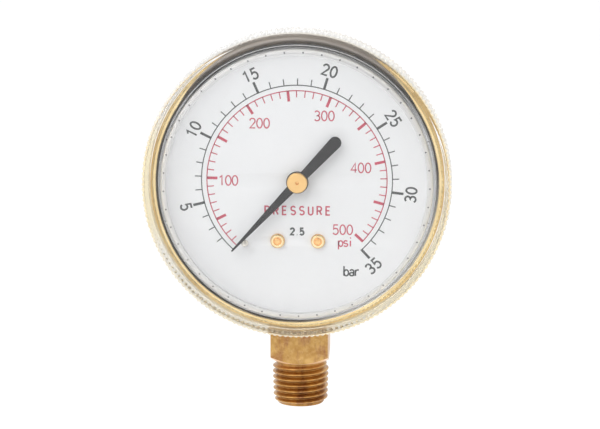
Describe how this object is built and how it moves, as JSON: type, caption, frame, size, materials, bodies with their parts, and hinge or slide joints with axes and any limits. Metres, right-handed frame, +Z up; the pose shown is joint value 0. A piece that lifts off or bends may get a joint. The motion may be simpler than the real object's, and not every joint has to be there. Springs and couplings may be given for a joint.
{
  "type": "pressure gauge",
  "caption": "Round dial pressure gauge with a clear twist-on lens, a pointer driven by a curved tube through a sector gear, and a bottom stem with a taper pipe thread.",
  "frame": {"origin": "centre of the stem's lower end face, on the thread's axis", "axes": "+Z up along the stem to the dial's centre, -Y the way the dial faces, +X to the reader's right"},
  "size_m": [0.0734, 0.0294, 0.0939],
  "materials": {
    "case_brass": "bright drawn and lacquered",
    "stem_brass": "machined, slightly tarnished",
    "movement_brass": "stamped",
    "screw_brass": "satin turned",
    "tube_bronze": "drawn phosphor bronze",
    "spring_bronze": "rolled phosphor bronze",
    "pin_steel": "turned",
    "clear_lens": "clear polished polycarbonate",
    "dial_white": "satin white enamel with a printed scale",
    "pointer_black": "matt black",
    "plug_rubber": "moulded"
  },
  "bodies": {
    "case": {"case": "case_brass", "case_screw_left": "screw_brass", "case_screw_right": "screw_brass", "relief_plug": "plug_rubber", "dial": "dial_white", "dial_screw_left": "screw_brass", "dial_screw_right": "screw_brass", "stop_pin": "pin_steel", "hairspring": "spring_bronze", "hairspring_stud": "movement_brass", "bourdon_tube": "tube_bronze", "front_plate": "movement_brass", "back_plate": "movement_brass", "pillar_left": "movement_brass", "pillar_right": "movement_brass", "pillar_top": "movement_brass", "pillar_screw_left": "screw_brass", "pillar_screw_right": "screw_brass", "pillar_screw_top": "screw_brass", "movement_screw_left": "screw_brass", "movement_screw_right": "screw_brass", "socket": "stem_brass", "restrictor": "movement_brass"},
    "lens": {"lens": "clear_lens"},
    "pointer": {"pointer": "pointer_black", "pointer_hub": "screw_brass", "pinion": "pin_steel", "hairspring_collet": "movement_brass"},
    "sector": {"sector_gear": "movement_brass", "sector_arbor": "pin_steel", "link_pin_sector": "pin_steel"},
    "link": {"link": "movement_brass"},
    "tip": {"tube_tip": "tube_bronze", "link_pin_tip": "pin_steel"}
  },
  "joints": [
    {"name": "sector_turn", "type": "hinge", "parent": "case", "child": "sector", "pos_m": [0.00667, 0, 0.03888], "axis": [0, -1, 0], "range_deg": [0, 22.75], "stiffness_Nm_per_rad": 0.02, "springref_deg": -2.86},
    {"name": "pointer_turn", "type": "hinge", "parent": "case", "child": "pointer", "pos_m": [0, 0, 0.0572], "axis": [0, 1, 0], "range_deg": [0, 273], "deforming": ["hairspring"]},
    {"name": "link_turn", "type": "hinge", "parent": "sector", "child": "link", "pos_m": [0.00987, 0, 0.03306], "axis": [0, 1, 0], "range_deg": [0, 23.29]},
    {"name": "tube_tip_swing", "type": "hinge", "parent": "case", "child": "tip", "pos_m": [0.0004, 0, 0.064], "axis": [0, -1, 0], "range_deg": [0, 5.01], "deforming": ["bourdon_tube"]},
    {"name": "lens_twist", "type": "hinge", "parent": "case", "child": "lens", "pos_m": [0, 0, 0.0572], "axis": [0, -1, 0], "range_deg": [0, 20]}
  ],
  "couplings": [
    {"joint": "pointer_turn", "follows": "sector_turn", "ratio": 12},
    {"joint": "link_turn", "follows": "sector_turn", "ratio": 1.0234},
    {"joint": "tube_tip_swing", "follows": "sector_turn", "ratio": 0.21978}
  ]
}
